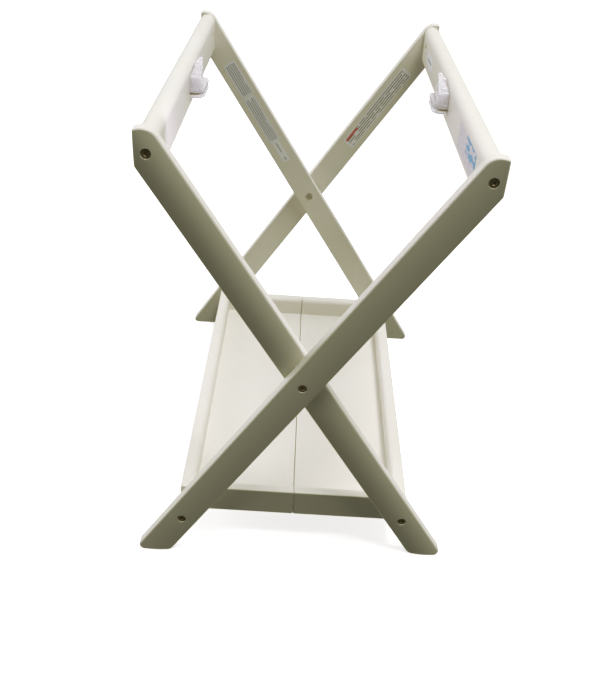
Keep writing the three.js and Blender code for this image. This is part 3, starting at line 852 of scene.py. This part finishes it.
def make_hinge_screw(node, body):
    """A countersunk screw that points up, level with the leaf's underside."""
    low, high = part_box(node)
    centre = (low + high) / 2
    length = high.z - low.z
    head, shank = 2.7 * MM, 1.3 * MM
    profile = [(0, 0), (head - 0.2 * MM, 0), (head, 0.15 * MM), (head, 0.3 * MM), (shank, 1.7 * MM)]
    profile += thread(shank, 0.25 * MM, 1.9 * MM, length - 1.6 * MM, 0.9 * MM)
    profile += [(0, length)]
    base = (centre.x, centre.y, low.z)
    screw = turned(node + "_body", profile, base, "Z", 1, 28)
    cut(screw, cross_cutters(base, "Z", 0.9 * MM, 1.5 * MM, 0.3 * MM))
    finish_piece(screw, body, zinc_metal, "zinc_steel", node)


def thread(radius, depth, start, stop, pitch):
    """Ridges along a shank, as points of its profile."""
    points = []
    along = start
    while along + pitch <= stop:
        points += [(radius - depth, along), (radius, along + pitch / 2)]
        along += pitch
    return points + [(radius - depth, stop)]


# ---------- Clear carrycot mounts ----------

SEAT_TOP = 655 * MM
SEAT_BOTTOM = 647.2 * MM
LIP_TOP = 644.8 * MM
LIP_BOTTOM = 640.2 * MM
SEAT_REACH = 177 * MM
SEAT_NEAR, SEAT_FAR = -40 * MM, 25 * MM
SLOT_SIDE = 185.5 * MM
SLOT_DEPTH = 22 * MM
LIP_REACH = 2.2 * MM  # how far the lip stands out in front of the seat
RAMP_NEAR_TOP, RAMP_FAR_TOP = 672.5 * MM, 686.5 * MM
TEETH = ((-27, 187, 195), (-12, 182.5, 188.5), (4, 190, 197), (19, 186, 192))  # y, and x from and to
RIDGES = (186.5, 194)  # x; both tables are in millimetres


def hull(name, corners, edge):
    """The convex solid round some points, with its edges rounded."""
    shape = bmesh.new()
    for corner in corners:
        shape.verts.new(corner)
    bmesh.ops.convex_hull(shape, input=shape.verts)
    bmesh.ops.dissolve_limit(shape, angle_limit=math.radians(1), verts=shape.verts, edges=shape.edges)
    bmesh.ops.bevel(shape, geom=shape.edges[:], offset=edge, segments=3, profile=0.5, affect="EDGES")
    mesh = bpy.data.meshes.new(name)
    shape.to_mesh(mesh)
    shape.free()
    return add_object(name, mesh)


def make_mount(name, side):
    """The clear moulding: a seat over a slotted lip, and a ramp with four teeth that rises to the rear."""
    body = RAILS[name][0]
    node = f"{name}_carrycot_mount"
    back = mount_high.x

    def plate(label, low, high, shrink, near_corner, edge):
        reach = SEAT_REACH + shrink
        corners = [
            (side * back, SEAT_NEAR + shrink, 1 * MM),
            (side * back, SEAT_FAR - shrink, 1 * MM),
            (side * reach, SEAT_FAR - shrink, 7 * MM),
            (side * reach, SEAT_NEAR + shrink, near_corner),
        ]
        return board(label, rounded(corners, math.radians(7)), "Z", low, high, edge, 4)

    moulding = plate(node + "_moulding", SEAT_BOTTOM, SEAT_TOP, 0, 14 * MM, 1.4 * MM)
    lip = plate("lip", LIP_BOTTOM, LIP_TOP, -0.5 * MM, 14 * MM, 1.7 * MM)
    lip.data.transform(Matrix.Translation((0, -LIP_REACH, 0)))
    web = plate("web", LIP_TOP - 2 * MM, SEAT_BOTTOM + 2 * MM, 2.6 * MM, 13 * MM, 0.3 * MM)
    slot_ends = sorted_pair(
        (side * SLOT_SIDE, SEAT_NEAR - MM, LIP_TOP),
        (side * (back + MM), SEAT_NEAR + SLOT_DEPTH, SEAT_BOTTOM),
    )
    cut(web, [block("slot", *slot_ends)])
    near, far, root = SEAT_NEAR + MM, SEAT_FAR - 2 * MM, SEAT_TOP - 3 * MM
    ramp = hull("ramp", [
        (side * back, near, root),
        (side * 181 * MM, near, root),
        (side * back, near, RAMP_NEAR_TOP),
        (side * 182 * MM, near, RAMP_NEAR_TOP - MM),
        (side * back, far, root),
        (side * 186 * MM, far, root),
        (side * 193 * MM, far, RAMP_FAR_TOP),
        (side * 186.5 * MM, far, RAMP_FAR_TOP),
    ], 1.3 * MM)
    parts = [lip, web, ramp]
    climb = (RAMP_FAR_TOP - RAMP_NEAR_TOP) / (SEAT_FAR - SEAT_NEAR)
    for y, x_low, x_high in TEETH:
        top = RAMP_NEAR_TOP + climb * (y * MM - SEAT_NEAR)
        tooth = sorted_pair((side * x_low * MM, (y - 3) * MM, top - 4 * MM),
                            (side * x_high * MM, (y + 3) * MM, top + 2.4 * MM))
        parts.append(block("tooth", *tooth, 1.7 * MM, 4))
    for x in RIDGES:
        ridge = sorted_pair((side * (x - 0.6) * MM, SEAT_NEAR, SEAT_TOP - MM),
                            (side * (x + 0.6) * MM, SEAT_NEAR + 4 * MM, RAMP_NEAR_TOP - 3 * MM))
        parts.append(block("ridge", *ridge, 0.4 * MM, 2))
    combine(moulding, parts, "UNION")
    cutters = []
    for end in ENDS:
        screw = middle(f"{name}_mount_screw_{end}")
        sink, through = 3 * MM, 14 * MM
        head_bore = 3.7 * MM
        profile = [
            (0, -through),
            (head_bore, -through),
            (head_bore, sink),
            (SCREW_BORE, sink),
            (SCREW_BORE, through),
            (0, through),
        ]
        cutters.append(turned("cutter", profile, (side * mount_face, screw.y, screw.z), "X", side, 32))
    finish_piece(cut(moulding, cutters), body, plastic_clear, "clear_plastic", node)
    # A dark piece paints the shade in the slot.
    make_slot_shade(name, side, body)


def make_slot_shade(name, side, body):
    """A dark piece in the front of the slot: painted shade that makes the slot read dark."""
    gap = 0.15 * MM
    low, high = sorted_pair(
        (side * (SLOT_SIDE + 0.7 * MM), SEAT_NEAR + 1.2 * MM, LIP_TOP + gap),
        (side * (mount_high.x - 0.4 * MM), SEAT_NEAR + 0.8 * SLOT_DEPTH, SEAT_BOTTOM - gap),
    )
    slot_shade = block(f"{name}_mount_slot_shade", low, high, 0.5 * MM)
    # Dark metal, as painted shade in the slot.
    finish_piece(slot_shade, body, bolt_metal, "dark_bolt")


def make_mount_screw(name, end):
    """A pan-head screw that holds a mount to its rail."""
    node = f"{name}_mount_screw_{end}"
    side = SIDES[name]
    low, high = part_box(node)
    centre = (low + high) / 2
    length = high.x - low.x
    head, shank = 3.3 * MM, 1.6 * MM
    head_height = 2.2 * MM
    profile = [
        (0, 0),
        (head - 1.1 * MM, 0.05 * MM),
        (head - 0.4 * MM, 0.4 * MM),
        (head, 1.1 * MM),
        (head, head_height),
        (shank, head_height),
    ]
    profile += thread(shank, 0.3 * MM, 9.5 * MM, length - 3 * MM, 1.1 * MM)
    profile += [(0, length)]
    base = (centre.x - side * length / 2, centre.y, centre.z)
    screw = turned(node + "_body", profile, base, "X", side, 32)
    cut(screw, cross_cutters(base, "X", 1.2 * MM, 1.9 * MM, 0.36 * MM))
    finish_piece(screw, RAILS[name][0], zinc_metal, "zinc_steel", node)


make_legs()
make_rails()
for half_name, half_side in SIDES.items():
    make_tray_half(half_name, half_side)
    make_mount(half_name, half_side)
    for end_name in ENDS:
        make_mount_screw(half_name, end_name)
make_fasteners()
make_hinges()

# ---------- Stickers ----------


def printed_paper(name, paper, ink, pitch, cover, area, accent=None):
    """Pale film with rows of broken bars in its middle; accent is a colour and the box it fills."""
    nodes = Nodes(name)
    split = nodes.add("ShaderNodeSeparateXYZ", {"Vector": nodes.coordinates})
    along, up = split.outputs["X"], split.outputs["Z"]
    calc = nodes.calc

    def inside(left, right, low, high):
        in_length = calc("MULTIPLY", calc("GREATER_THAN", along, left), calc("LESS_THAN", along, right))
        in_width = calc("MULTIPLY", calc("GREATER_THAN", up, low), calc("LESS_THAN", up, high))
        return calc("MULTIPLY", in_length, in_width)

    rows = calc("ADD", calc("DIVIDE", up, pitch), 50.25)
    in_row = calc("LESS_THAN", calc("FRACT", rows), 0.45)
    place = nodes.add("ShaderNodeCombineXYZ", {"X": calc("MULTIPLY", along, 55), "Y": calc("FLOOR", rows)})
    fine = nodes.add("ShaderNodeCombineXYZ", {"X": calc("MULTIPLY", along, 420), "Y": calc("FLOOR", rows)})
    bars = calc("LESS_THAN", nodes.noise(1, 0, place.outputs[0]), cover)
    printed = calc("MULTIPLY", bars, nodes.span(nodes.noise(1, 0, fine.outputs[0]), 0.95, 0.5))
    half_along, half_up = area[0] / 2 * MM, area[1] / 2 * MM
    printed = calc("MULTIPLY", printed, inside(-half_along, half_along, -half_up, half_up))
    colour = nodes.blend(calc("MULTIPLY", in_row, printed), paper, ink)
    if accent:
        tint, box = accent
        colour = nodes.blend(calc("MULTIPLY", inside(*(edge * MM for edge in box)), 0.85), colour, tint)
    nodes.shade(Base_Color=colour, Roughness=nodes.span(nodes.noise(300), 0.36, 0.44))
    return nodes.material


def splashed_film(name):
    """Pale lavender film with faint streaks and, at its front end, a few soft blue shapes."""
    nodes = Nodes(name)
    split = nodes.add("ShaderNodeSeparateXYZ", {"Vector": nodes.coordinates})
    stretched = nodes.add("ShaderNodeMapping", {"Vector": nodes.coordinates, "Scale": (45, 60, 130)})
    shapes = nodes.noise(1, 0.5, stretched.outputs[0])
    streaks = nodes.noise(2.4, 2, stretched.outputs[0])
    film = nodes.blend(nodes.span(streaks, 0, 0.75, 0.56, 0.64), (0.71, 0.68, 0.74), (0.46, 0.42, 0.55))
    near = nodes.span(split.outputs["X"], 0, 1, -0.012, 0.0)
    high = nodes.span(split.outputs["Z"], 0, 1, -0.006, -0.001)
    spread = nodes.calc("MULTIPLY", near, high)
    blue = nodes.calc("MULTIPLY", spread, nodes.span(shapes, 0, 1, 0.46, 0.49))
    nodes.shade(Base_Color=nodes.blend(blue, film, (0.10, 0.37, 0.66)))
    nodes.shade(Roughness=nodes.span(nodes.noise(300), 0.32, 0.40))
    return nodes.material


FILM = 0.15 * MM


def make_sticker(name, body, place, size, corner, material):
    """A thin film, in millimetres; its local X runs along the board and its local -Y faces out."""
    length, width = size[0] / 2 * MM, size[1] / 2 * MM
    corners = [(-length, -width), (length, -width), (length, width), (-length, width)]
    outline = rounded([(u, v, corner * MM) for u, v in corners], math.radians(12))
    sticker = board(name, outline, "Y", -FILM, 0)
    sticker.matrix_world = place
    finish_piece(sticker, body, material, "painted_wood")


def make_stickers():
    """Three on the rear inner leg, one on the rear outer leg, two on the right rail. None has words."""
    paper, ink = (0.90, 0.91, 1.0), (0.13, 0.135, 0.21)
    notice = printed_paper("sticker_notice", paper, ink, 4 * MM, 0.68, (66, 19))
    long_notice = printed_paper("sticker_long_notice", paper, ink, 4 * MM, 0.66, (95, 17))
    plain = printed_paper("sticker_plain", (0.90, 0.91, 0.96), (0.30, 0.32, 0.40), 5 * MM, 0.55, (40, 5))
    red_block = ((0.62, 0.045, 0.05), (-89, -54, 4.6, 9.4))
    rows_paper, rows_ink = (0.92, 0.90, 0.95), (0.10, 0.09, 0.10)
    rows = printed_paper("sticker_rows", rows_paper, rows_ink, 4.4 * MM, 0.62, (176, 19), red_block)
    oval = printed_paper("sticker_oval", (0.86, 0.88, 0.95), (0.15, 0.17, 0.25), 9 * MM, 0.7, (46, 5))
    leaning = Matrix.Rotation(LEAN - math.pi, 4, "Y")
    for name, centre, size, corner, material in (
        ("sticker_upper", (-153, 570), (72, 24), 3, notice),
        ("sticker_middle", (-105, 494.5), (102, 22), 3, long_notice),
        ("sticker_lower", (-63.5, 431.5), (47, 15), 2, plain),
    ):
        centre = Vector((centre[0] * MM, inner_leg_in, centre[1] * MM))
        make_sticker(name, "inner_frame", Matrix.Translation(centre) @ leaning, size, corner, material)
    place = Matrix.Translation((124 * MM, outer_leg_in, 525 * MM)) @ Matrix.Rotation(-LEAN, 4, "Y")
    make_sticker("sticker_long", "outer_frame", place, (186, 24), 3, rows)
    facing_left = Matrix.Rotation(-math.pi / 2, 4, "Z")
    place = Matrix.Translation((rail_low.x, 230 * MM, 652 * MM)) @ facing_left
    make_sticker("sticker_oval", "outer_frame", place, (78, 22), 10.9, oval)
    place = Matrix.Translation((rail_low.x, -237 * MM, 653 * MM)) @ facing_left
    make_sticker("sticker_film", "outer_frame", place, (145, 38), 3, splashed_film("sticker_lavender"))


make_stickers()

# ---------- Floor and lights ----------

FRONT_FILL = (0.06, 0.058, 0.056)
BACK_FILL = (0.80, 0.79, 0.785)
BACKDROP = (0.93, 0.93, 0.925)
TOP_FILL = (0.46, 0.458, 0.455)
BLUE_CURVE = [(0.08, 0.054), (0.25, 0.176), (0.36, 0.29), (0.45, 0.402), (0.55, 0.52), (0.7, 0.69)]


def make_floor():
    """A matt white light table, which lights only itself, so the fill stays as the studio sets it."""
    reach = 14
    corners = [(-reach, -reach, 0), (reach, -reach, 0), (reach, reach, 0), (-reach, reach, 0)]
    floor = mesh_object("studio_floor", corners, [[0, 1, 2, 3]])
    nodes = Nodes("floor_matt_white")
    soft = nodes.noise(2, 2)
    nodes.shade(Base_Color=nodes.blend(soft, (0.86, 0.858, 0.85), (0.84, 0.838, 0.83)), Roughness=0.8)
    nodes.shade(Emission_Color=(1, 1, 1, 1), Emission_Strength=0.6)
    floor.visible_diffuse = False
    floor.visible_glossy = False
    floor.data.materials.append(nodes.material)


def add_light(name, place, target, size, power, colour, mirrored=True):
    """A soft rectangular light that the camera doesn't see; mirrored says if glossy faces do."""
    data = bpy.data.lights.new(name, "AREA")
    data.shape = "RECTANGLE"
    data.size, data.size_y = size
    data.energy = power
    data.color = colour
    light = add_object(name, data)
    light.visible_camera = False
    light.visible_glossy = mirrored
    light.location = place
    aim = Vector(target) - Vector(place)
    light.rotation_euler = aim.to_track_quat("-Z", "Y").to_euler()


def make_world():
    """Soft light from all round, paler above and behind than in front, and a plain pale backdrop to see."""
    world = bpy.data.worlds.new("studio")
    world.use_nodes = True
    tree = world.node_tree
    direction = tree.nodes.new("ShaderNodeTexCoord").outputs["Generated"]
    split = tree.nodes.new("ShaderNodeSeparateXYZ")
    tree.links.new(direction, split.inputs[0])

    def ramp(value, low, high):
        node = tree.nodes.new("ShaderNodeMapRange")
        node.interpolation_type = "SMOOTHSTEP"
        tree.links.new(value, node.inputs["Value"])
        node.inputs["From Min"].default_value = low
        node.inputs["From Max"].default_value = high
        return node.outputs["Result"]

    def blend(factor, first, second):
        node = tree.nodes.new("ShaderNodeMix")
        node.data_type = "RGBA"
        tree.links.new(factor, node.inputs[0])
        for value, socket in ((first, node.inputs[6]), (second, node.inputs[7])):
            if isinstance(value, tuple):
                socket.default_value = (*value, 1)
            else:
                tree.links.new(value, socket)
        return node.outputs[2]

    around = blend(ramp(split.outputs["Y"], -0.4, 0.5), FRONT_FILL, BACK_FILL)
    above = blend(ramp(split.outputs["Z"], 0.35, 0.95), around, TOP_FILL)
    is_camera = tree.nodes.new("ShaderNodeLightPath").outputs["Is Camera Ray"]
    tree.links.new(blend(is_camera, above, BACKDROP), tree.nodes["Background"].inputs["Color"])
    bpy.context.scene.world = world


def make_film_tone():
    """Plain display tone, with the olive cast that shaded paint takes: less blue in the darker half."""
    view = bpy.context.scene.view_settings
    view.view_transform = "Standard"
    view.use_curve_mapping = True
    curve = view.curve_mapping.curves[2]
    for level, blue in BLUE_CURVE:
        curve.points.new(level, blue)
    view.curve_mapping.update()


def make_studio():
    make_floor()
    add_light("softbox_above", (1.3, -0.82, 4.5), (0.05, -0.1, 0.3), (2.2, 1.0), 116, (0.985, 1.0, 0.965))
    add_light("softbox_left", (-3.2, 1.1, 1.5), (0.1, 0.0, 0.4), (2.4, 2.0), 32, (1.0, 0.985, 0.985))
    between, far_legs = (-0.08, -0.33, 0.66), (0.2, 0.38, 0.62)
    add_light("softbox_between", between, far_legs, (0.2, 0.1), 0.24, (0.88, 0.78, 1.0), mirrored=False)
    make_world()
    make_film_tone()


make_studio()
